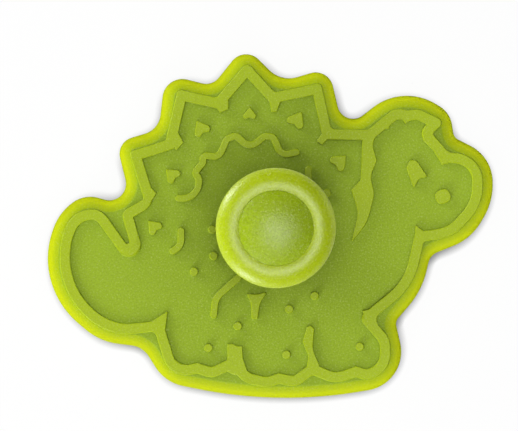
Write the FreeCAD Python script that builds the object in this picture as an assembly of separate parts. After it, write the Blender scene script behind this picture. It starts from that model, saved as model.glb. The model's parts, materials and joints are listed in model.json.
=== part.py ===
import FreeCAD, Part
import math
import os

# Plunger cutter for dough: a figure-shaped cutter with a sprung embossing plate.
# Millimetres, +Z up. The cutting edge rests on z = 0, and the origin is under the middle of the rim.
# The figure, a dinosaur with back plates, faces +X with its back towards +Y.

# Figure
figure_length = 84.6
band_width = 2.1
relief_height = 0.6
relief_draft = 0.05
relief_chamfer = 0.14
relief_root = 0.2
dot_radius = 0.85
smallest_corner = 0.05
notch_corner = 0.2

# Shell
wall_depth = 15.0
wall_thickness = 1.5
edge_land = 0.6
bevel_height = 4.0
plate_thickness = 2.0
lip_width = 2.4
lip_fall = 0.7
lip_depth = 3.2
lip_overhang = 1.1
lip_outer_round = 2.2
lip_under_round = 0.6
axis_x = 0.9
axis_y = -0.3
sleeve_height = 4.0
sleeve_wall = 1.22

# Stamp plate and stem
stamp_clearance = 0.35
stamp_thickness = 1.8
stamp_relief_height = 1.0
stamp_band_width = 1.0
stop_height = 2.0
boss_floor = 0.9
stiffener_height = 1.5
stiffener_width = 1.2
stiffener_margin = 1.5
stem_diameter = 7.0
stem_clearance = 0.08
stem_chamfer = 0.5
travel = 10.0
stop_gap = 0.3

# Spring
wire_diameter = 0.9
spring_inner_gap = 0.5
spring_seat_gap = 0.05
end_turns = 1
active_turns = 4.5
end_turn_gap = 0.5

# Knob, cap and screw
knob_diameter = 22.0
knob_height = 13.0
knob_ring_inset = 3.08
knob_ring_run = 1.05
knob_crown_round = 3.7
knob_brow_round = 3.6
knob_edge_round = 1.0
knob_throat_radius = 2.5
skirt_wall = 1.7
skirt_gap = 1.0
skirt_edge_round = 0.5
spring_outer_gap = 0.45
recess_roof = 2.9
socket_clearance = 0.03
cap_clearance = 0.01
cap_thickness = 2.1
cap_rise = 1.65
cap_edge_round = 0.1
screw_diameter = 3.0
screw_length = 10.0
screw_web = 1.5
screw_point = 2.0
screw_head_diameter = 5.6
screw_head_height = 1.9
screw_head_round = 0.6
screw_recess_width = 0.8
screw_recess_length = 3.0
screw_recess_depth = 1.1
screw_hole_clearance = 0.15
screw_pilot_clearance = 0.02

# Levels and radii that follow from the driving dimensions
grid = figure_length / 100
plate_base = wall_depth
field = plate_base + plate_thickness
lip_base = field - lip_depth
lip_shoulder = field - lip_fall
stem_radius = stem_diameter / 2
bore_radius = stem_radius + stem_clearance
sleeve_radius = bore_radius + sleeve_wall
sleeve_top = field + sleeve_height
stamp_top = plate_base - stop_height
stamp_base = stamp_top - stamp_thickness
stem_foot = stamp_base + boss_floor
hub_base = sleeve_top + travel + stop_gap
skirt_base = field + travel + skirt_gap
knob_crown = skirt_base + knob_height
knob_radius = knob_diameter / 2
ring_radius = knob_radius - knob_ring_inset
inner_slope = math.asin(knob_ring_run / knob_brow_round)
outer_slope = math.asin((knob_ring_inset - knob_edge_round) / (knob_crown_round - knob_edge_round))
cap_edge = knob_crown - knob_brow_round * (1 - math.cos(inner_slope))
pocket_floor = cap_edge - cap_thickness
pocket_radius = ring_radius - knob_ring_run
cap_radius = pocket_radius - cap_clearance
screw_seat = pocket_floor - screw_head_height
stem_top = screw_seat - screw_web
recess_ceiling = pocket_floor - recess_roof
wire_radius = wire_diameter / 2
spring_radius = sleeve_radius + spring_inner_gap + wire_radius
recess_radius = spring_radius + wire_radius + spring_outer_gap
up = FreeCAD.Vector(0, 0, 1)
axis = FreeCAD.Vector(axis_x, axis_y, 0)

# Outlines have corners (x, y, radius) on a grid of 100 units to the figure's length.
# A fourth value is the radius on the inner side of the band, where that isn't the plain one.
RIM = [
    (-5.8, 40.6, 4.0), (2.4, 32.4, 6.3), (13.1, 35.6, 4.0), (16.4, 21.5, 3.5), (29.8, 31.9, 12.4),
    (40.4, 25.5, 5.8), (41.3, 19.9, 2.0), (50.0, 15.5, 9.2), (50.0, 5.3, 14.4), (45.1, -2.9, 12.6),
    (35.9, -6.6, 3.4), (34.2, -14.4, 18.6), (28.1, -21.5, 2.0), (31.3, -35.4, 8.8), (1.9, -40.3, 99.5),
    (-23.7, -35.2, 9.4), (-28.7, -27.2, 5.4), (-38.4, -26.0, 13.9), (-47.1, -18.6, 19.3),
    (-51.2, -7.6, 18.4), (-47.6, 3.0, 12.2), (-41.8, 7.2, 6.8), (-31.1, 4.2, 3.7), (-34.7, 18.8, 3.8),
    (-25.1, 21.7, 4.9), (-23.7, 34.2, 4.5), (-13.1, 31.5, 3.6),
]
BAND = [
    (-5.2, 36.8, 1.3), (1.0, 30.0, 0.9), (11.4, 32.1, 1.0), (13.7, 21.7, 1.1), (21.8, 21.6, 1.1),
    (28.1, 26.7, 4.0), (30.7, 25.9, 0.9), (33.1, 26.3, 4.0), (39.4, 23.4, 1.3), (36.3, 20.7, 0.7, 2.3),
    (39.9, 16.6, 1.8), (47.6, 15.8, 6.5), (47.6, 4.7, 11.2), (41.0, -2.6, 9.9), (34.4, -3.5, 0.8),
    (32.1, -13.5, 15.3), (23.1, -20.8, 1.8, 1.8), (26.9, -25.2, 5.4), (26.9, -33.5, 5.8),
    (21.1, -34.5, 3.1), (19.2, -33.9, 0.7), (14.5, -35.5, 6.7), (9.5, -33.4, 1.1), (5.8, -36.2, 4.0),
    (2.1, -35.4, 0.7), (-0.7, -36.3, 4.5), (-5.7, -35.2, 5.6), (-8.7, -32.2, 1.1), (-13.0, -34.2, 4.0),
    (-16.4, -33.1, 0.7), (-18.3, -33.5, 3.1), (-23.0, -33.0, 5.4), (-25.9, -23.7, 1.2),
    (-33.9, -24.6, 12.1), (-39.8, -21.9, 15.7), (-44.8, -16.8, 17.1), (-47.5, -9.4, 17.1),
    (-46.9, -2.2, 13.5), (-44.4, 2.8, 6.1), (-38.2, 4.5, 4.5), (-31.0, -5.6, 0.4, 2.7),
    (-33.5, 3.1, 2.0), (-28.4, 6.1, 0.45, 4.0), (-31.7, 16.6, 1.0), (-23.5, 19.2, 0.7),
    (-20.8, 30.7, 1.1), (-12.1, 28.8, 0.9),
]
NECK = [
    (20.5, 20.1, 0.15), (20.1, 10.4, 0.9), (18.0, 8.1, 0.45), (19.6, 3.0, 4.5), (17.9, -4.1, 0.2),
    (21.7, 0.6, 9.0), (23.4, 7.1, 3.6), (22.5, 11.1, 3.6), (23.9, 14.7, 0.2), (22.8, 18.5, 3.1),
    (24.9, 21.9, 0.45),
]
REAR_LEG = [
    (-11.5, -31.8, 0.15), (-9.7, -29.9, 1.1), (-9.7, -26.4, 0.2), (-8.6, -26.2, 1.3), (-7.4, -26.8, 1.3),
    (-6.2, -26.8, 0.2), (-6.1, -29.5, 1.1), (-4.9, -32.9, 0.15), (-8.1, -33.4, 0.15),
]
FRONT_LEG = [
    (7.9, -32.6, 0.15), (8.4, -29.1, 1.8), (7.1, -25.8, 1.1), (8.1, -22.5, 0.3), (9.0, -22.2, 0.3),
    (9.9, -22.9, 0.2), (9.5, -27.5, 4.5), (11.6, -32.4, 0.15), (9.7, -33.0, 0.15),
]
SPURS = [
    [(-12.6, 27.2, 0.15), (-11.3, 25.2, 0.3), (-9.3, 26.1, 0.3), (-9.3, 28.8, 0.15)],
    [(-0.4, 28.6, 0.15), (0.2, 25.4, 0.3), (1.4, 25.4, 0.3), (2.6, 28.4, 0.15)],
    [(12.2, 21.8, 0.15), (10.2, 18.9, 0.45), (11.6, 18.0, 0.35), (13.4, 20.0, 0.15)],
    [(-22.2, 18.0, 0.15), (-21.0, 16.8, 0.3), (-19.3, 18.7, 0.3), (-20.9, 21.6, 0.15)],
    [(-27.4, 4.8, 0.15), (-26.1, 6.1, 0.7), (-25.4, 7.4, 0.2), (-27.6, 9.6, 0.15)],
    [(-27.8, -22.0, 0.15), (-22.9, -18.9, 0.2), (-23.5, -24.0, 0.15), (-25.2, -23.4, 0.15)],
    [(34.8, -1.4, 0.15), (32.4, 0.4, 0.2), (32.2, -4.6, 0.15), (33.7, -3.0, 0.15)],
    [(24.6, -17.9, 0.15), (20.5, -18.9, 0.2), (21.6, -22.6, 0.15), (22.9, -20.5, 0.15)],
    [(24.9, 22.0, 0.15), (25.8, 21.6, 0.3), (26.5, 21.7, 0.12), (27.0, 22.8, 0.3), (26.4, 23.4, 0.15)],
    [(29.4, 23.9, 0.15), (30.2, 22.7, 0.12), (31.5, 23.7, 0.15), (30.4, 24.6, 0.15)],
    [(35.0, 23.2, 0.15), (34.6, 22.4, 0.6), (34.0, 19.2, 0.6), (36.3, 17.0, 2.0), (38.4, 13.6, 0.15),
     (41.0, 14.2, 0.9), (39.6, 16.0, 0.15), (35.6, 21.0, 0.15)],
]
EYE = [
    (31.2, 15.1, 1.0), (32.9, 14.6, 1.3), (35.3, 11.0, 0.3), (33.3, 10.5, 0.9), (32.1, 8.2, 0.3),
    (30.3, 13.0, 1.3),
]
NOSTRIL = [(37.6, 4.4, 1.4), (36.3, 7.4, 1.4), (39.6, 8.8, 1.4), (40.9, 5.8, 1.4)]
ARROWHEAD = [
    (-5.5, -15.0, 0.35), (-3.1, -15.3, 4.5), (-0.5, -14.5, 0.35), (-2.3, -17.4, 3.1), (-2.8, -20.9, 0.5),
    (-4.3, -20.9, 0.5), (-4.4, -17.4, 3.1),
]

# Hearts have their tip, the heading from tip to notch in degrees, and their length.
HEARTS = [
    (-27.4, 1.3, -48, 3.4), (-23.5, 12.8, -43, 3.5), (-16.6, 23.7, -60, 3.7), (-4.6, 26.8, -91, 2.9),
    (7.1, 25.7, -121, 3.9), (17.1, 15.9, -137, 3.9),
]
HEART_FORM = [
    (0.0, 0.0, 0.08), (0.7, 0.56, 0.22), (1.06, 0.42, 0.2), (0.9, 0.0, 0.06), (1.06, -0.42, 0.2),
    (0.7, -0.56, 0.22),
]
DOTS = [
    (-17.1, -10.2), (-12.7, -6.7), (-13.0, -0.8), (-7.3, -22.4), (-13.9, -27.3), (3.6, -28.8), (4.2, -18.6),
    (9.9, -15.6), (20.0, -27.0), (12.6, 7.3),
]

# Strokes follow a centre line.
STROKE_WIDTH = 1.7
STROKES = [
    [(-20.5, 6.2, 0), (-16.0, 6.2, 3.6), (-16.0, 10.6, 1.2), (-16.9, 12.0, 0.9), (-15.0, 14.3, 0.9),
     (-15.3, 15.8, 0.9), (-11.5, 15.5, 1.8), (-9.7, 19.5, 1.2), (-7.7, 20.3, 1.2), (-4.6, 17.4, 2.3),
     (-1.3, 20.1, 1.2), (0.6, 20.0, 1.1), (2.5, 15.8, 2.0), (5.8, 16.5, 0)],
    [(-20.0, -1.1, 0), (-20.0, -4.4, 2.5), (-21.8, -5.6, 0)],
    [(-7.2, -11.6, 0), (-12.3, -16.1, 4.0), (-12.7, -19.9, 0)],
    [(8.5, 12.6, 0), (8.5, 10.7, 0)],
]


def on_grid(corners):
    """Corners in millimetres, from corners on the figure's grid."""
    return [tuple(value * grid for value in corner) for corner in corners]


def heading(start, finish):
    """Unit vector from one corner to another."""
    way = FreeCAD.Vector(finish[0] - start[0], finish[1] - start[1], 0)
    return way.normalize()


def left_of(way):
    """The vector turned a quarter turn to the left."""
    return FreeCAD.Vector(-way.y, way.x, 0)


def inner_side(corners):
    """1 where the inside of a closed outline is on the left of its sides, -1 where it is on the right."""
    doubled_area = 0
    for here, after in zip(corners, corners[1:] + corners[:1]):
        doubled_area += here[0] * after[1] - after[0] * here[1]
    return math.copysign(1, doubled_area)


def shifted(corner, arrive, leave, distance):
    """The corner where both of its sides meet after they move to the left by distance."""
    move = left_of(arrive + leave) * (distance / (1 + arrive.dot(leave)))
    return corner[0] + move.x, corner[1] + move.y


def left_turn(arrive, leave):
    """Positive where the outline turns to the left."""
    return arrive.x * leave.y - arrive.y * leave.x


def inset(corners, distance):
    """A closed outline with every side moved inwards, and its corner radii fitted to that."""
    side = inner_side(corners)
    moved = []
    for before, corner, after in zip(corners[-1:] + corners[:-1], corners, corners[1:] + corners[:1]):
        arrive = heading(before, corner)
        leave = heading(corner, after)
        x, y = shifted(corner, arrive, leave, side * distance)
        radius = corner[2] - math.copysign(distance, side * left_turn(arrive, leave))
        moved.append((x, y, max(radius, smallest_corner)))
    return moved


def inner_edge(corners, width):
    """The inner side of a band, with mitred notches unless a corner gives its own inner radius."""
    edge = []
    side = inner_side(corners)
    before_corners = corners[-1:] + corners[:-1]
    after_corners = corners[1:] + corners[:1]
    for before, corner, after, moved in zip(before_corners, corners, after_corners, inset(corners, width)):
        hollow = side * left_turn(heading(before, corner), heading(corner, after)) < 0
        if len(corner) > 3:
            radius = corner[3]
        elif hollow:
            radius = notch_corner
        else:
            radius = max(moved[2], notch_corner)
        edge.append((moved[0], moved[1], radius))
    return edge


def stroke(points, width):
    """The closed outline of a line of even width with round ends."""
    half = width / 2
    start = heading(points[0], points[1])
    finish = heading(points[-2], points[-1])
    sides = []
    for side in (1, -1):
        x, y = points[0][:2]
        edge = left_of(start) * (side * half) - start * half
        line = [(x + edge.x, y + edge.y, half)]
        for before, corner, after in zip(points, points[1:], points[2:]):
            arrive = heading(before, corner)
            leave = heading(corner, after)
            x, y = shifted(corner, arrive, leave, side * half)
            radius = corner[2] - math.copysign(half, side * left_turn(arrive, leave))
            line.append((x, y, max(radius, smallest_corner)))
        x, y = points[-1][:2]
        edge = left_of(finish) * (side * half) + finish * half
        line.append((x + edge.x, y + edge.y, half))
        sides.append(line)
    return sides[0] + sides[1][::-1]


def heart(x, y, degrees, length):
    """The outline of a heart that points away from its heading."""
    cosine = math.cos(math.radians(degrees))
    sine = math.sin(math.radians(degrees))
    corners = []
    for along, across, radius in HEART_FORM:
        corners.append((
            x + length * (along * cosine - across * sine),
            y + length * (along * sine + across * cosine),
            length * radius,
        ))
    return corners


def outline(corners, height):
    """A closed wire whose corners are tangent arcs, each no larger than its two sides have room for."""
    most_of_side = 0.98
    points = [FreeCAD.Vector(corner[0], corner[1], height) for corner in corners]
    count = len(points)
    arrive = [heading(corners[i - 1], corners[i]) for i in range(count)]
    half_turn = [arrive[i].getAngle(arrive[(i + 1) % count]) / 2 for i in range(count)]
    wanted = [corners[i][2] * math.tan(half_turn[i]) for i in range(count)]
    room = []
    for i in range(count):
        side_length = (points[i] - points[i - 1]).Length
        room.append(min(1, most_of_side * side_length / (wanted[i - 1] + wanted[i])))
    arcs = []
    for i in range(count):
        leave = arrive[(i + 1) % count]
        reach = wanted[i] * min(room[i], room[(i + 1) % count])
        radius = reach / math.tan(half_turn[i])
        inwards = (leave - arrive[i]).normalize()
        middle = points[i] + inwards * (radius / math.cos(half_turn[i]) - radius)
        arcs.append((points[i] - arrive[i] * reach, middle, points[i] + leave * reach))
    edges = []
    for i in range(count):
        edges.append(Part.Arc(*arcs[i]).toShape())
        edges.append(Part.makeLine(arcs[i][2], arcs[(i + 1) % count][0]))
    return Part.Wire(edges)


def prism(corners, low, high):
    """An outline raised straight from one level to another."""
    return Part.Face(outline(corners, low)).extrude(up * (high - low))


def cylinder(radius, low, high):
    """A round bar on the plunger's axis."""
    return Part.makeCylinder(radius, high - low, axis + up * low)


def relief_levels(height):
    """Rise and inward step of each level of a raised line, from its root to its brim."""
    brim = relief_draft + relief_chamfer
    return [(-relief_root, 0), (0, 0), (height - relief_chamfer, relief_draft), (height, brim)]


def raised(corners, base, height, way, hollow=1):
    """A raised form with sloped sides and a chamfered brim. With hollow -1 it widens towards its brim."""
    wires = []
    for rise, step in relief_levels(height):
        wires.append(outline(inset(corners, hollow * step), base + way * rise))
    return Part.makeLoft(wires, True, True)


def raised_dot(x, y, base, height, way):
    """A raised round dot."""
    wires = []
    for rise, step in relief_levels(height):
        centre = FreeCAD.Vector(x, y, base + way * rise)
        wires.append(Part.Wire(Part.makeCircle(dot_radius - step, centre)))
    return Part.makeLoft(wires, True, True)


def raised_band(outer, inner, base, height, way):
    """The raised line that runs round the figure."""
    return raised(outer, base, height, way).cut(raised(inner, base, height, way, hollow=-1))


def drawing(band_outer, base, height, way):
    """Every raised form of the figure, standing on base and rising by height, up or down."""
    band = on_grid(BAND)
    band_inner = inner_edge(band, band_width)
    forms = [raised_band(band_outer, band_inner, base, height, way)]
    for corners in [NECK, REAR_LEG, FRONT_LEG, EYE, NOSTRIL, ARROWHEAD] + SPURS:
        forms.append(raised(on_grid(corners), base, height, way))
    for x, y, degrees, length in HEARTS:
        corners = heart(x * grid, y * grid, degrees, length * grid)
        forms.append(raised(corners, base, height, way))
    for points in STROKES:
        corners = stroke(on_grid(points), STROKE_WIDTH * grid)
        forms.append(raised(corners, base, height, way))
    for x, y in DOTS:
        forms.append(raised_dot(x * grid, y * grid, base, height, way))
    return forms


def level_edges(shape, level):
    """Edges that lie flat at one level."""
    near = 1e-4
    return [edge for edge in shape.Edges
            if abs(edge.BoundBox.ZMin - level) < near and abs(edge.BoundBox.ZMax - level) < near]


def lipped_plate(rim):
    """The top plate with the lip along its rim, which slopes outwards and rolls over the edge."""
    levels = [outline(rim, lip_base), outline(rim, lip_shoulder), outline(inset(rim, lip_width), field)]
    block = Part.makeLoft(levels, True, True)
    block = block.makeFillet(lip_outer_round, level_edges(block, lip_shoulder))
    return block.makeFillet(lip_under_round, level_edges(block, lip_base))


def cutter_shell():
    """Wall with its cutting edge, top plate with lip and drawing, and the sleeve that guides the stem."""
    rim = on_grid(RIM)
    wall_outer = inset(rim, lip_overhang)
    wall_inner = inset(rim, lip_overhang + wall_thickness)
    edge_outer = inset(rim, lip_overhang + wall_thickness - edge_land)
    bevel = Part.makeLoft([outline(edge_outer, 0), outline(wall_outer, bevel_height)], True, True)
    wall = prism(wall_outer, bevel_height, plate_base)
    sleeve = cylinder(sleeve_radius, plate_base, sleeve_top)
    shell = lipped_plate(rim).multiFuse([wall, bevel, sleeve])
    shell = shell.cut(prism(wall_inner, -bevel_height, plate_base))
    shell = shell.cut(cylinder(bore_radius, 0, sleeve_top + sleeve_height))
    shell = shell.multiFuse(drawing(on_grid(BAND), field, relief_height, 1))
    return shell.removeSplitter()


def stiffeners(stamp):
    """Crossed ribs on the back of the stamp plate, kept inside its outline."""
    inside = prism(inset(stamp, stiffener_margin), stamp_top - relief_root, stamp_top + stiffener_height)
    box = inside.BoundBox
    half = stiffener_width / 2
    low = FreeCAD.Vector(box.XMin, axis_y - half, box.ZMin)
    along = Part.makeBox(box.XLength, stiffener_width, box.ZLength, low)
    low = FreeCAD.Vector(axis_x - half, box.YMin, box.ZMin)
    across = Part.makeBox(stiffener_width, box.YLength, box.ZLength, low)
    return [inside.common(along), inside.common(across)]


def stamp_plate():
    """Embossing plate with the figure's lines on its underside, and the boss that holds the stem."""
    stamp = inset(on_grid(RIM), lip_overhang + wall_thickness + stamp_clearance)
    plate = prism(stamp, stamp_base, stamp_top)
    boss = cylinder(sleeve_radius, stamp_base, plate_base)
    plate = plate.multiFuse(stiffeners(stamp) + [boss])
    line = inset(on_grid(BAND), band_width - stamp_band_width)
    plate = plate.multiFuse(drawing(line, stamp_base, stamp_relief_height, -1))
    socket = cylinder(stem_radius + socket_clearance, stem_foot, plate_base)
    return plate.cut(socket).removeSplitter()


def plunger_stem():
    """Round stem from the boss of the stamp plate to the knob, with a pilot hole for the screw."""
    stem = cylinder(stem_radius, stem_foot, stem_top)
    ends = level_edges(stem, stem_foot) + level_edges(stem, stem_top)
    stem = stem.makeChamfer(stem_chamfer, ends)
    pilot_radius = screw_diameter / 2 + screw_pilot_clearance
    return stem.cut(cylinder(pilot_radius, screw_seat - screw_length - screw_point, stem_top))


def turned(points_and_arcs):
    """A solid of revolution about the plunger's axis, from a profile of (radius, height) lines and arcs."""
    edges = []
    for piece in points_and_arcs:
        places = [FreeCAD.Vector(axis_x + r, axis_y, z) for r, z in piece]
        if len(places) == 3:
            edges.append(Part.Arc(*places).toShape())
        else:
            edges.append(Part.makeLine(*places))
    return Part.Face(Part.Wire(edges)).revolve(axis, up, 360)


def round_point(centre, radius, degrees):
    """A point of a circle in a profile."""
    angle = math.radians(degrees)
    return centre[0] + radius * math.cos(angle), centre[1] + radius * math.sin(angle)


def plunger_knob():
    """Round knob: a low ring round the top, a hollow skirt over the spring, a hub that sits on the stem."""
    top = (ring_radius, knob_crown)
    crown = (ring_radius, knob_crown - knob_crown_round)
    inside = (ring_radius, knob_crown - knob_brow_round)
    rise_degrees = 90 + math.degrees(inner_slope)
    fall_degrees = 90 - math.degrees(outer_slope)
    brow = round_point(inside, knob_brow_round, rise_degrees)
    shoulder = round_point(crown, knob_crown_round, fall_degrees)
    edge = round_point(crown, knob_crown_round - knob_edge_round, fall_degrees)
    skirt_radius = recess_radius + skirt_wall
    throat_x = skirt_radius + knob_throat_radius
    throat_run = knob_edge_round + knob_throat_radius
    throat_degrees = math.degrees(math.acos((throat_x - edge[0]) / throat_run))
    throat = (throat_x, edge[1] - throat_run * math.sin(math.radians(throat_degrees)))
    meet = round_point(edge, knob_edge_round, -throat_degrees)
    throat_low = (skirt_radius, throat[1])
    throat_middle = round_point(throat, knob_throat_radius, 180 - throat_degrees / 2)
    foot = (skirt_radius - skirt_edge_round, skirt_base + skirt_edge_round)
    foot_out = (skirt_radius, foot[1])
    foot_in = (foot[0], skirt_base)
    screw_hole = screw_diameter / 2 + screw_hole_clearance
    head_radius = screw_head_diameter / 2 + screw_hole_clearance
    socket_radius = stem_radius + socket_clearance
    profile = [
        (foot_in, round_point(foot, skirt_edge_round, -45), foot_out),
        (foot_out, throat_low),
        (throat_low, throat_middle, meet),
        (meet, round_point(edge, knob_edge_round, (fall_degrees - throat_degrees) / 2), shoulder),
        (shoulder, round_point(crown, knob_crown_round, (fall_degrees + 90) / 2), top),
        (top, round_point(inside, knob_brow_round, (rise_degrees + 90) / 2), brow),
        (brow, (pocket_radius, pocket_floor)),
        ((pocket_radius, pocket_floor), (head_radius, pocket_floor)),
        ((head_radius, pocket_floor), (head_radius, screw_seat)),
        ((head_radius, screw_seat), (screw_hole, screw_seat)),
        ((screw_hole, screw_seat), (screw_hole, stem_top)),
        ((screw_hole, stem_top), (socket_radius, stem_top)),
        ((socket_radius, stem_top), (socket_radius, hub_base)),
        ((socket_radius, hub_base), (sleeve_radius, hub_base)),
        ((sleeve_radius, hub_base), (sleeve_radius, recess_ceiling)),
        ((sleeve_radius, recess_ceiling), (recess_radius, recess_ceiling)),
        ((recess_radius, recess_ceiling), (recess_radius, skirt_base)),
        ((recess_radius, skirt_base), foot_in),
    ]
    return turned(profile)


def knob_cap():
    """Domed disc in the knob's top."""
    crest = cap_edge + cap_rise
    dome_radius = (cap_radius ** 2 + cap_rise ** 2) / (2 * cap_rise)
    dome = (0, crest - dome_radius)
    slope = math.degrees(math.asin(cap_radius / dome_radius))
    profile = [
        ((0, pocket_floor), (cap_radius, pocket_floor)),
        ((cap_radius, pocket_floor), (cap_radius, cap_edge)),
        ((cap_radius, cap_edge), round_point(dome, dome_radius, 90 - slope / 2), (0, crest)),
        ((0, crest), (0, pocket_floor)),
    ]
    cap = turned(profile)
    return cap.makeFillet(cap_edge_round, level_edges(cap, cap_edge))


def knob_screw():
    """Pan-head self-tapping screw with a cross recess, from the knob into the stem."""
    head_radius = screw_head_diameter / 2
    shank_radius = screw_diameter / 2
    tip = screw_seat - screw_length
    head_top = screw_seat + screw_head_height
    head = cylinder(head_radius, screw_seat, head_top)
    head = head.makeFillet(screw_head_round, level_edges(head, head_top))
    shank = cylinder(shank_radius, tip + screw_point, screw_seat)
    point = Part.makeCone(0, shank_radius, screw_point, axis + up * tip)
    screw = head.multiFuse([shank, point])
    slots = ((screw_recess_length, screw_recess_width), (screw_recess_width, screw_recess_length))
    for length, width in slots:
        corner = axis + FreeCAD.Vector(-length / 2, -width / 2, head_top - screw_recess_depth)
        screw = screw.cut(Part.makeBox(length, width, screw_recess_depth, corner))
    return screw.removeSplitter()


def spring_height(turns, rise):
    """Height of the wire's centre line after some turns from the lower end."""
    end_pitch = wire_diameter + end_turn_gap
    active_pitch = (rise - 2 * end_turns * end_pitch) / active_turns
    low = min(turns, end_turns)
    middle = min(max(turns - end_turns, 0), active_turns)
    high = max(turns - end_turns - active_turns, 0)
    return (low + high) * end_pitch + middle * active_pitch


def biarc(start, start_way, finish, finish_way):
    """Two tangent arcs from one point and heading to another."""
    span = finish - start
    ways = start_way + finish_way
    spread = 2 * (1 - start_way.dot(finish_way))
    along = span.dot(ways)
    reach = (math.sqrt(along ** 2 + spread * span.dot(span)) - along) / spread
    first = start + start_way * reach
    second = finish - finish_way * reach
    joint = (first + second) * 0.5
    arcs = []
    for near, corner, far in ((start, first, joint), (joint, second, finish)):
        chord = (near + far) * 0.5
        rise = (corner - chord).Length
        half_chord = (far - near).Length / 2
        bulge = rise * half_chord / (half_chord + math.hypot(half_chord, rise))
        middle = chord + (corner - chord).normalize() * bulge
        arcs.append(Part.Arc(near, middle, far).toShape())
    return arcs


def return_spring():
    """Compression spring between the top plate and the knob's recess, one unbroken wire."""
    quarters_per_turn = 4
    rise = recess_ceiling - field - wire_diameter - 2 * spring_seat_gap
    quarters = round((2 * end_turns + active_turns) * quarters_per_turn)
    quarter = math.pi / 2
    places = []
    for i in range(-1, quarters + 2):
        turns = i / quarters_per_turn
        height = field + spring_seat_gap + wire_radius + spring_height(turns, rise)
        angle = i * quarter
        places.append(axis + FreeCAD.Vector(
            spring_radius * math.cos(angle), spring_radius * math.sin(angle), height))
    ways = []
    for i in range(quarters + 1):
        angle = i * quarter
        climb = (places[i + 2].z - places[i].z) / (2 * quarter * spring_radius)
        ways.append(FreeCAD.Vector(-math.sin(angle), math.cos(angle), climb).normalize())
    arcs = []
    for i in range(quarters):
        arcs += biarc(places[i + 1], ways[i], places[i + 2], ways[i + 1])
    path = Part.Wire(arcs)
    sweep = Part.BRepOffsetAPI.MakePipeShell(path)
    sweep.add(Part.Wire(Part.makeCircle(wire_radius, places[1], ways[0])))
    sweep.build()
    sweep.makeSolid()
    print_spring_gap(arcs, quarters_per_turn)
    return sweep.shape()


def print_spring_gap(arcs, quarters_per_turn):
    """Prints the least gap between turns of the wire, measured on points of its centre line."""
    points_per_arc = 8
    points = []
    for arc in arcs:
        points += arc.discretize(points_per_arc)[:-1]
    half_turn = quarters_per_turn * (points_per_arc - 1)
    least = min((points[i] - points[j]).Length
                for i in range(len(points)) for j in range(i + half_turn, len(points)))
    print("least gap between the spring's turns:", round(least - wire_diameter, 3), "mm")


def main():
    os.makedirs("parts", exist_ok=True)
    pieces = {
        "cutter_shell": cutter_shell(),
        "stamp_plate": stamp_plate(),
        "plunger_stem": plunger_stem(),
        "return_spring": return_spring(),
        "plunger_knob": plunger_knob(),
        "knob_screw": knob_screw(),
        "knob_cap": knob_cap(),
    }
    for name, shape in pieces.items():
        print(name, "solids", len(shape.Solids), "valid", shape.isValid(), "volume", round(shape.Volume, 2))
        shape.exportStep(os.path.join("parts", name + ".step"))


main()
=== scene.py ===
import json
import math

import bmesh
import bpy
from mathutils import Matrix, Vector

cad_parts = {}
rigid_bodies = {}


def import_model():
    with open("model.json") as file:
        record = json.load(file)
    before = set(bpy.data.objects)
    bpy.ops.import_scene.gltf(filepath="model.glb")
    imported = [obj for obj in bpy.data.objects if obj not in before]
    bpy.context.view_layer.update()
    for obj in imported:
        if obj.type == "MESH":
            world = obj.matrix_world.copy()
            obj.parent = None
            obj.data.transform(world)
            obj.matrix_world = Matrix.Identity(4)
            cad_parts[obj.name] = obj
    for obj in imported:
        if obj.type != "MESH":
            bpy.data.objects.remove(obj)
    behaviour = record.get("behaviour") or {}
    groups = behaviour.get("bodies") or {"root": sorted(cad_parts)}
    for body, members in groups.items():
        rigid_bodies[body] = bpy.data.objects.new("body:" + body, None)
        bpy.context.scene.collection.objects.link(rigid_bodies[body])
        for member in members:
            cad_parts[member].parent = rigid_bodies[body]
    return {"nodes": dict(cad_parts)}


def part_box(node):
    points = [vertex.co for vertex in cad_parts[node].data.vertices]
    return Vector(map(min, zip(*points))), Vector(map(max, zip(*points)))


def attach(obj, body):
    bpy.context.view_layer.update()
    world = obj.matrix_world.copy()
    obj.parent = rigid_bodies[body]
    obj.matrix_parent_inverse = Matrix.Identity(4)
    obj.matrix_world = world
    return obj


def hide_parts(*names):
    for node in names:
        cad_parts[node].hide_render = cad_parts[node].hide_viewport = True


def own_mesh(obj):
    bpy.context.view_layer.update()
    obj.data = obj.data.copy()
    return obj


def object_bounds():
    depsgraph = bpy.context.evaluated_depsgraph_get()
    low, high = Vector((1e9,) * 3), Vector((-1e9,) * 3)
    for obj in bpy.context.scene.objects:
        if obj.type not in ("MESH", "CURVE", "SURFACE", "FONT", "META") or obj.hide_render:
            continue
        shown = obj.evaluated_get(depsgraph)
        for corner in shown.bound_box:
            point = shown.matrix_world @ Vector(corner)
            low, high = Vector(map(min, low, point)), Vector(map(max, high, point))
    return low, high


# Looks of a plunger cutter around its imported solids: materials, the wound spring, camera and soft light.
# Metres, in the frame of the solids: the cutting edge rests on z = 0 and the figure faces +X.

# Photograph, with pixels counted from its upper left corner
IMAGE_WIDTH = 518
IMAGE_CENTRE_PIXELS = (259.0, 215.5)
RIM_PIXELS = 446.8
RIM_CENTRE_PIXELS = (270.3, 226.1)
CAMERA_HEIGHT = 0.6
CAMERA_CLIP = 0.01
SENSOR_WIDTH = 36.0

# Spring. The pitch changes over PITCH_EASE turns on either side of the end turns.
WIRE_DIAMETER = 0.0009
END_TURN_GAP = 0.0005
END_TURNS = 1
ACTIVE_TURNS = 4.5
PITCH_EASE = 0.12
PITCH_SAMPLES = 7
STEPS_PER_TURN = 48
WIRE_SIDES = 14

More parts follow.
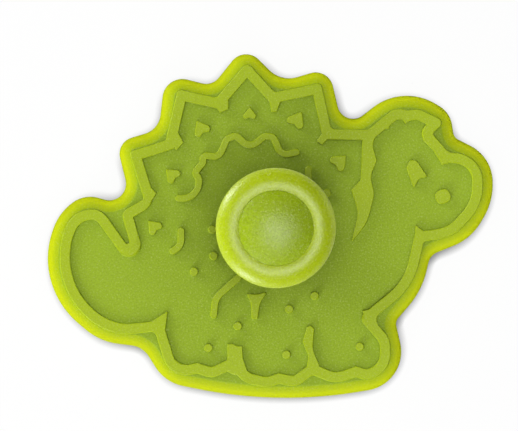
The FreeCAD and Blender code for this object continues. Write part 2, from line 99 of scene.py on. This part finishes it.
# Lamps. Softboxes have a heading and a height in degrees, a distance, a size and a share of the level at
# which a colour renders as it is written.
LIGHT_TARGET = (0.0, 0.0, 0.015)
SOFTBOXES = [
    ("overhead", 300, 86, 0.74, 0.42, 0.64),
    ("front", 270, 62, 0.70, 0.34, 0.08),
    ("front_left", 238, 14, 0.60, 0.22, 0.67),
    ("back_left", 145, 10, 0.80, 0.22, 0.64),
    ("right", 20, 12, 0.70, 0.22, 0.05),
]

# World. The white backdrop ends and the dim ceiling begins at these sines of the height above the horizon.
WORLD_SHARE = 0.03
BACKDROP_TOP = 0.10
CEILING_START = 0.25
CEILING_LEVEL = 0.05

# Floor. FLOOR_SHADOW is the share of real light and shadow in its white. The contact shade looks for the
# object within CONTACT_REACH round the lean's direction. It goes from CONTACT_SHADE to white, as the open
# share of that view goes from CONTACT_DARK to CONTACT_CLEAR.
FLOOR_HALF = 3.0
FLOOR_COLOUR = (0.95, 0.95, 0.95, 1)
FLOOR_SHADOW = 0.05
CONTACT_REACH = 0.0041
CONTACT_SAMPLES = 32
CONTACT_LEAN = (-0.16, 0.28, 1.0)
CONTACT_DARK = 0.66
CONTACT_CLEAR = 0.97
CONTACT_SHADE = 0.30

# Colours of the plastic
LIME = (0.397, 0.526, 0.006)
# The lip's lighter colour is a painted glow, for light that spreads inside its thin plastic edge
LIME_LIP_PAINTED_GLOW = (0.620, 0.715, 0.003)
LIME_FIELD = (0.336, 0.479, 0.026)
LIME_KNOB = (0.424, 0.548, 0.003)
LIME_CAP = (0.316, 0.446, 0.003)
# Pale specks: painted glints, for the sparkle of the grained surface in the light
PAINTED_GLINT = (0.62, 0.70, 0.24)
MOTTLE_TINT = (0.965, 0.97, 0.95)
NO_TINT = (1.0, 1.0, 1.0)
PLASTIC_IOR = 1.46

# Noise, each with the size of its lumps, its detail and its roughness, and the part of its range in use
GRAIN = (0.00034, 3, 0.6)
GLINT_FLECKS = (0.00032, 2, 0.6)
MOTTLE = (0.0045, 3, 0.55)
NOISE_LOW = 0.3
NOISE_HIGH = 0.7
# The part of the speck noise's range that paints the glints
GLINT_FLECK_LOW = 0.54
GLINT_FLECK_HIGH = 0.72
MOTTLE_ROUGHNESS = 0.04

# Zones of the shell by height: the wall, the lip, and the top plate with its field and the relief on it.
# The drops are below the field, the rises above it.
FIELD_LEVEL = 0.017
PLATE_DROP = 0.00060
FIELD_DROP = 0.00009
LEVEL_SLACK = 0.00002
RELIEF_FOOT_RISE = 0.0001
RELIEF_SIDE_RISE = 0.0003
LIP_BASE = 0.0138
LIP_BLEND = 0.0004
FACING_DOWN = -0.3
FACING_OUT = 0.1

# Looks of those zones: how far the lip's shading turns upwards, the grain's darkest and lightest shares,
# and the shade of the knob on the plate and beside the relief, painted into the colour
LIP_GLOW = 1.7
# The share of the painted glints that stays on the lip
LIP_GLINT_FLECKS = 0.4
LIP_SPECKLE = (0.95, 1.04)
FIELD_SPECKLE = (0.86, 1.13)
FIELD_ROUGHNESS = 0.22
KNOB_SHADE_REACH = 0.03
RELIEF_SHADE_REACH = 0.005
RELIEF_SHADE_LEFT_OUT = 0.62
SHADE_SAMPLES = 12
KNOB_COVER = 0.5
KNOB_SHADE = 0.65

# Steel
SCREW_COLOUR = (0.50, 0.50, 0.50)
SPRING_COLOUR = (0.55, 0.56, 0.58)
STEEL_DETAIL = 4
STEEL_NOISE_ROUGHNESS = 0.65
STEEL_SPECKLE = (0.82, 1.08)
STEEL_SMOOTHER = 0.06
STEEL_ROUGHER = 0.08
STEEL_BUMP = 0.4
STEEL_BUMP_SHARE = 0.05


def node(tree, kind, **values):
    """A shader node, with its properties and the values of its inputs set by name."""
    made = tree.nodes.new(kind)
    for name, value in values.items():
        if hasattr(made, name):
            setattr(made, name, value)
        else:
            made.inputs[name.replace("_", " ")].default_value = value
    return made


def empty_material(name):
    """A material with only its shader and output, and that shader."""
    material = bpy.data.materials.new(name)
    material.use_nodes = True
    tree = material.node_tree
    tree.nodes.clear()
    shader = node(tree, "ShaderNodeBsdfPrincipled")
    output = node(tree, "ShaderNodeOutputMaterial")
    tree.links.new(shader.outputs["BSDF"], output.inputs["Surface"])
    return material, tree, shader


def noise(tree, place, size, detail, roughness):
    """Noise whose lumps are about size across."""
    made = node(tree, "ShaderNodeTexNoise", Scale=1 / size, Detail=detail, Roughness=roughness)
    tree.links.new(place, made.inputs["Vector"])
    return made.outputs["Fac"]


def ranged(tree, value, low, high, to_low, to_high):
    """The value taken from one range to another, and held at its ends."""
    made = node(tree, "ShaderNodeMapRange", clamp=True)
    for socket, number in zip(("From Min", "From Max", "To Min", "To Max"), (low, high, to_low, to_high)):
        made.inputs[socket].default_value = number
    tree.links.new(value, made.inputs["Value"])
    return made.outputs["Result"]


def combined(tree, operation, first, second):
    """Two values or sockets through one maths node."""
    made = node(tree, "ShaderNodeMath", operation=operation)
    for socket, value in zip(made.inputs, (first, second)):
        if isinstance(value, (int, float)):
            socket.default_value = value
        else:
            tree.links.new(value, socket)
    return made.outputs["Value"]


def mixed(tree, share, first, second):
    """Two colours, or colour sockets, mixed by a share."""
    made = node(tree, "ShaderNodeMix", data_type="RGBA")
    tree.links.new(share, made.inputs["Factor"])
    for socket, colour in zip(("A", "B"), (first, second)):
        target = [i for i in made.inputs if i.name == socket and i.type == "RGBA"][0]
        if isinstance(colour, tuple):
            target.default_value = (*colour, 1)
        else:
            tree.links.new(colour, target)
    return [o for o in made.outputs if o.type == "RGBA"][0]


def multiplied(tree, colour, by):
    """A colour socket times another one, or times a value socket."""
    made = node(tree, "ShaderNodeVectorMath", operation="MULTIPLY")
    tree.links.new(colour, made.inputs[0])
    tree.links.new(by, made.inputs[1])
    return made.outputs["Vector"]


def split_height(tree, vector):
    """The Z of a vector socket."""
    made = node(tree, "ShaderNodeSeparateXYZ")
    tree.links.new(vector, made.inputs["Vector"])
    return made.outputs["Z"]


def scaled(colour, share):
    """A colour made lighter or darker."""
    return tuple(min(1, channel * share) for channel in colour)


def speckled(tree, speck, colour, darkest, lightest):
    """A colour that varies with the grain between two shares of itself."""
    return mixed(tree, speck, scaled(colour, darkest), scaled(colour, lightest))


def upturned(tree, share):
    """The surface's facing, turned upwards by a share, as light spread inside a pale edge evens it out."""
    lift = node(tree, "ShaderNodeCombineXYZ")
    tree.links.new(share, lift.inputs["Z"])
    total = node(tree, "ShaderNodeVectorMath", operation="ADD")
    tree.links.new(node(tree, "ShaderNodeNewGeometry").outputs["Normal"], total.inputs[0])
    tree.links.new(lift.outputs["Vector"], total.inputs[1])
    unit = node(tree, "ShaderNodeVectorMath", operation="NORMALIZE")
    tree.links.new(total.outputs["Vector"], unit.inputs[0])
    return unit.outputs["Vector"]


def openness(tree, reach):
    """How much of the view from a point is free of anything within reach, 1 where all of it is."""
    return node(tree, "ShaderNodeAmbientOcclusion", samples=SHADE_SAMPLES, Distance=reach).outputs["AO"]


def shell_zones(tree, place):
    """1 on the shell's top plate, on that plate's bare field and on the lip round it, and 0 elsewhere."""
    height = split_height(tree, place)
    plate = ranged(tree, height, FIELD_LEVEL - PLATE_DROP, FIELD_LEVEL - LEVEL_SLACK, 0, 1)
    above_edge = ranged(tree, height, FIELD_LEVEL - FIELD_DROP, FIELD_LEVEL - LEVEL_SLACK, 0, 1)
    relief_foot = FIELD_LEVEL + RELIEF_FOOT_RISE
    relief_side = FIELD_LEVEL + RELIEF_SIDE_RISE
    below_relief = ranged(tree, height, relief_foot, relief_side, 1, 0)
    field = combined(tree, "MULTIPLY", above_edge, below_relief)
    above_wall = ranged(tree, height, LIP_BASE, LIP_BASE + LIP_BLEND, 0, 1)
    beside_plate = combined(tree, "MULTIPLY", above_wall, combined(tree, "SUBTRACT", 1, plate))
    facing = split_height(tree, node(tree, "ShaderNodeNewGeometry").outputs["Normal"])
    lip = combined(tree, "MULTIPLY", beside_plate, ranged(tree, facing, FACING_DOWN, FACING_OUT, 0, 1))
    return plate, field, lip


def painted_shade_under_knob(tree, plate):
    """Painted shade for the colour: 1 in the open, and less on the plate where the knob stands over it and
    beside the relief.
    """
    relief_open = ranged(tree, openness(tree, RELIEF_SHADE_REACH), 0, 1, 1 - RELIEF_SHADE_LEFT_OUT, 1)
    cover = combined(tree, "SUBTRACT", relief_open, openness(tree, KNOB_SHADE_REACH))
    covered = ranged(tree, cover, 0, KNOB_COVER, 0, KNOB_SHADE)
    return combined(tree, "SUBTRACT", 1, combined(tree, "MULTIPLY", covered, plate))


def moulded_plastic(name, colour, roughness, grain_height, gloss, glint_flecks, speckle, is_shell=False):
    """Lime plastic with a fine grain, pale specks painted in as glints, and faint mottling. The shell has
    its zones too.
    """
    material, tree, shader = empty_material(name)
    place = node(tree, "ShaderNodeTexCoord").outputs["Object"]
    grain = noise(tree, place, *GRAIN)
    mottle = noise(tree, place, *MOTTLE)
    speck = ranged(tree, grain, NOISE_LOW, NOISE_HIGH, 0, 1)
    glint_fleck = ranged(tree, noise(tree, place, *GLINT_FLECKS), GLINT_FLECK_LOW, GLINT_FLECK_HIGH, 0, glint_flecks)
    smoother = roughness - MOTTLE_ROUGHNESS
    rougher = roughness + MOTTLE_ROUGHNESS
    rough = ranged(tree, mottle, NOISE_LOW, NOISE_HIGH, smoother, rougher)
    bump = node(tree, "ShaderNodeBump", Strength=1.0, Distance=grain_height)
    tree.links.new(grain, bump.inputs["Height"])
    base = speckled(tree, speck, colour, 1 - speckle, 1 + speckle)
    if is_shell:
        plate, field, lip = shell_zones(tree, place)
        # Painted glow: the lip gets a lighter colour, for light spreading inside its thin edge
        base = mixed(tree, lip, base, speckled(tree, speck, LIME_LIP_PAINTED_GLOW, *LIP_SPECKLE))
        base = mixed(tree, field, base, speckled(tree, speck, LIME_FIELD, *FIELD_SPECKLE))
        # Painted shade: the colour is darkened on the plate under the knob and beside the relief
        base = multiplied(tree, base, painted_shade_under_knob(tree, plate))
        glint_fleck = combined(tree, "MULTIPLY", glint_fleck, ranged(tree, lip, 0, 1, 1, LIP_GLINT_FLECKS))
        rough = combined(tree, "ADD", rough, combined(tree, "MULTIPLY", field, FIELD_ROUGHNESS))
        tree.links.new(upturned(tree, combined(tree, "MULTIPLY", lip, LIP_GLOW)), bump.inputs["Normal"])
    # Painted glints: pale specks mixed into the colour
    base = mixed(tree, glint_fleck, base, PAINTED_GLINT)
    tint = mixed(tree, ranged(tree, mottle, NOISE_LOW, NOISE_HIGH, 0, 1), MOTTLE_TINT, NO_TINT)
    tree.links.new(multiplied(tree, base, tint), shader.inputs["Base Color"])
    tree.links.new(rough, shader.inputs["Roughness"])
    tree.links.new(bump.outputs["Normal"], shader.inputs["Normal"])
    shader.inputs["IOR"].default_value = PLASTIC_IOR
    shader.inputs["Specular IOR Level"].default_value = gloss
    return material


def drawn_steel(name, colour, roughness, streak):
    """Bright steel with fine drawing marks."""
    material, tree, shader = empty_material(name)
    place = node(tree, "ShaderNodeTexCoord").outputs["Object"]
    marks = noise(tree, place, streak, STEEL_DETAIL, STEEL_NOISE_ROUGHNESS)
    speck = ranged(tree, marks, NOISE_LOW, NOISE_HIGH, 0, 1)
    smoother = roughness - STEEL_SMOOTHER
    rougher = roughness + STEEL_ROUGHER
    bump = node(tree, "ShaderNodeBump", Strength=STEEL_BUMP, Distance=streak * STEEL_BUMP_SHARE)
    tree.links.new(marks, bump.inputs["Height"])
    tree.links.new(speckled(tree, speck, colour, *STEEL_SPECKLE), shader.inputs["Base Color"])
    rough = ranged(tree, marks, NOISE_LOW, NOISE_HIGH, smoother, rougher)
    tree.links.new(rough, shader.inputs["Roughness"])
    tree.links.new(bump.outputs["Normal"], shader.inputs["Normal"])
    shader.inputs["Metallic"].default_value = 1.0
    return material


def dress(name, material):
    """Gives a solid of the frame its material."""
    mesh = frame["nodes"][name].data
    mesh.materials.clear()
    mesh.materials.append(material)


def spring_height(turns, rise):
    """Height of the wire's centre line after some turns, closer together at both ends."""
    end_pitch = WIRE_DIAMETER + END_TURN_GAP
    active_pitch = (rise - 2 * END_TURNS * end_pitch) / ACTIVE_TURNS
    low = min(turns, END_TURNS)
    middle = min(max(turns - END_TURNS, 0), ACTIVE_TURNS)
    high = max(turns - END_TURNS - ACTIVE_TURNS, 0)
    return (low + high) * end_pitch + middle * active_pitch


def eased_height(turns, rise):
    """The wire's height with the change of pitch spread over part of a turn."""
    total = 0
    for i in range(PITCH_SAMPLES):
        total += spring_height(turns + PITCH_EASE * (2 * i / (PITCH_SAMPLES - 1) - 1), rise)
    return total / PITCH_SAMPLES


def spring_line(low, high):
    """Points along the wire's centre line, in the box of the spring's solid."""
    centre = (low + high) / 2
    coil_radius = (high.x - low.x - WIRE_DIAMETER) / 2
    rise = high.z - low.z - WIRE_DIAMETER
    line = []
    for i in range(round((2 * END_TURNS + ACTIVE_TURNS) * STEPS_PER_TURN) + 1):
        turns = i / STEPS_PER_TURN
        x = centre.x + coil_radius * math.cos(math.tau * turns)
        y = centre.y + coil_radius * math.sin(math.tau * turns)
        z = low.z + WIRE_DIAMETER / 2 + min(max(eased_height(turns, rise), 0), rise)
        line.append(Vector((x, y, z)))
    return line


def wound_spring():
    """The return spring: one wire wound between the top plate and the knob's recess."""
    low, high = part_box("return_spring")
    centre = (low + high) / 2
    line = spring_line(low, high)
    last = len(line) - 1
    shape = bmesh.new()
    rings = []
    for i, point in enumerate(line):
        along = (line[min(i + 1, last)] - line[max(i - 1, 0)]).normalized()
        outwards = Vector((point.x - centre.x, point.y - centre.y, 0)).normalized()
        upwards = outwards.cross(along).normalized()
        ring = []
        for k in range(WIRE_SIDES):
            turn = math.tau * k / WIRE_SIDES
            offset = outwards * math.cos(turn) + upwards * math.sin(turn)
            ring.append(shape.verts.new(point + offset * (WIRE_DIAMETER / 2)))
        rings.append(ring)
    for ring, following in zip(rings, rings[1:]):
        for k in range(WIRE_SIDES):
            after = (k + 1) % WIRE_SIDES
            face = shape.faces.new((ring[k], ring[after], following[after], following[k]))
            face.smooth = True
    shape.faces.new(rings[0])
    shape.faces.new(rings[-1])
    bmesh.ops.recalc_face_normals(shape, faces=shape.faces)
    mesh = bpy.data.meshes.new("wound_spring")
    shape.to_mesh(mesh)
    shape.free()
    spring = bpy.data.objects.new("wound_spring", mesh)
    bpy.context.scene.collection.objects.link(spring)
    return spring


def seat_spring(spring):
    """Puts the spring on the cutter's body in place of the solid spring, with a mesh of its own."""
    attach(spring, "cutter")
    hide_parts("return_spring")
    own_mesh(spring)


def softbox(name, heading, height, distance, size, share):
    """A square lamp that faces the object, and gives it that share of the plain level face on."""
    lamp = bpy.data.lights.new(name, "AREA")
    lamp.size = size
    lamp.energy = share * (math.pi * distance) ** 2
    heading = math.radians(heading)
    height = math.radians(height)
    flat = math.cos(height)
    back = Vector((flat * math.cos(heading), flat * math.sin(heading), math.sin(height)))
    stand = bpy.data.objects.new(name, lamp)
    stand.location = Vector(LIGHT_TARGET) + back * distance
    stand.rotation_euler = (-back).to_track_quat("-Z", "Y").to_euler()
    bpy.context.scene.collection.objects.link(stand)


def seen_directly(tree):
    """1 for rays from the camera and for mirror and clear rays, 0 for the light that surfaces gather."""
    path = node(tree, "ShaderNodeLightPath")
    seen = combined(tree, "MAXIMUM", path.outputs["Is Camera Ray"], path.outputs["Is Glossy Ray"])
    return combined(tree, "MAXIMUM", seen, path.outputs["Is Transmission Ray"])


def white_world():
    """A white backdrop all round under a dim ceiling, which gives little light of its own."""
    world = bpy.data.worlds.new("studio")
    bpy.context.scene.world = world
    world.use_nodes = True
    tree = world.node_tree
    background = tree.nodes["Background"]
    background.inputs["Color"].default_value = (1, 1, 1, 1)
    height = split_height(tree, node(tree, "ShaderNodeTexCoord").outputs["Generated"])
    backdrop = ranged(tree, height, BACKDROP_TOP, CEILING_START, 1, CEILING_LEVEL)
    seen = combined(tree, "MULTIPLY", seen_directly(tree), backdrop)
    tree.links.new(combined(tree, "MAXIMUM", seen, WORLD_SHARE), background.inputs["Strength"])


def white_paper():
    """The floor's material: white, with a little real shadow and a soft shade close to the object."""
    material = bpy.data.materials.new("white_floor")
    material.use_nodes = True
    tree = material.node_tree
    tree.nodes.clear()
    paper = node(tree, "ShaderNodeBsdfDiffuse", Color=FLOOR_COLOUR)
    glow = node(tree, "ShaderNodeEmission", Color=(1, 1, 1, 1))
    contact = node(tree, "ShaderNodeAmbientOcclusion", samples=CONTACT_SAMPLES, Distance=CONTACT_REACH)
    lean = node(tree, "ShaderNodeCombineXYZ")
    for socket, value in zip(lean.inputs, Vector(CONTACT_LEAN).normalized()):
        socket.default_value = value
    tree.links.new(lean.outputs["Vector"], contact.inputs["Normal"])
    strength = ranged(tree, contact.outputs["AO"], CONTACT_DARK, CONTACT_CLEAR, CONTACT_SHADE, 1)
    tree.links.new(strength, glow.inputs["Strength"])
    share = combined(tree, "MULTIPLY", seen_directly(tree), 1 - FLOOR_SHADOW)
    blend = node(tree, "ShaderNodeMixShader")
    output = node(tree, "ShaderNodeOutputMaterial")
    tree.links.new(share, blend.inputs["Fac"])
    tree.links.new(paper.outputs["BSDF"], blend.inputs[1])
    tree.links.new(glow.outputs["Emission"], blend.inputs[2])
    tree.links.new(blend.outputs["Shader"], output.inputs["Surface"])
    return material


def white_floor():
    """A wide floor at the height of the cutting edge."""
    half = FLOOR_HALF
    corners = [(-half, -half, 0), (half, -half, 0), (half, half, 0), (-half, half, 0)]
    mesh = bpy.data.meshes.new("floor")
    mesh.from_pydata(corners, [], [(0, 1, 2, 3)])
    mesh.materials.append(white_paper())
    floor = bpy.data.objects.new("floor", mesh)
    bpy.context.scene.collection.objects.link(floor)


def overhead_camera(cad_low, cad_high):
    """A long lens straight above, framed as the photograph is."""
    metres_per_pixel = (cad_high.x - cad_low.x) / RIM_PIXELS
    middle = (cad_low + cad_high) / 2
    right = (IMAGE_CENTRE_PIXELS[0] - RIM_CENTRE_PIXELS[0]) * metres_per_pixel
    up = (RIM_CENTRE_PIXELS[1] - IMAGE_CENTRE_PIXELS[1]) * metres_per_pixel
    data = bpy.data.cameras.new("overhead")
    data.sensor_fit = "HORIZONTAL"
    data.sensor_width = SENSOR_WIDTH
    data.lens = SENSOR_WIDTH * CAMERA_HEIGHT / (IMAGE_WIDTH * metres_per_pixel)
    data.clip_start = CAMERA_CLIP
    camera = bpy.data.objects.new("overhead", data)
    camera.location = (middle.x + right, middle.y + up, FIELD_LEVEL + CAMERA_HEIGHT)
    bpy.context.scene.collection.objects.link(camera)
    bpy.context.scene.camera = camera


for leftover in list(bpy.data.objects):
    bpy.data.objects.remove(leftover)
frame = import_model()
cad_low, cad_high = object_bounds()

dress("cutter_shell", moulded_plastic(
    "shell_plastic", LIME, roughness=0.42, grain_height=0.00004, gloss=0.13, glint_flecks=0.28, speckle=0.07,
    is_shell=True))
dress("stamp_plate", moulded_plastic(
    "stamp_plastic", LIME, roughness=0.45, grain_height=0.00002, gloss=0.3, glint_flecks=0.2, speckle=0.07))
dress("plunger_stem", moulded_plastic(
    "stem_plastic", LIME, roughness=0.38, grain_height=0.000008, gloss=0.4, glint_flecks=0.1, speckle=0.05))
dress("plunger_knob", moulded_plastic(
    "knob_plastic", LIME_KNOB, roughness=0.28, grain_height=0.00006, gloss=0.5, glint_flecks=0.45, speckle=0.12))
dress("knob_cap", moulded_plastic(
    "cap_plastic", LIME_CAP, roughness=0.28, grain_height=0.00008, gloss=0.55, glint_flecks=0.6, speckle=0.19))
dress("knob_screw", drawn_steel("screw_steel", SCREW_COLOUR, roughness=0.34, streak=0.0006))

spring = wound_spring()
spring.data.materials.append(drawn_steel("spring_steel", SPRING_COLOUR, roughness=0.26, streak=0.0004))
seat_spring(spring)

white_world()
for box in SOFTBOXES:
    softbox(*box)
white_floor()
overhead_camera(cad_low, cad_high)
bpy.context.scene.view_settings.view_transform = "Standard"
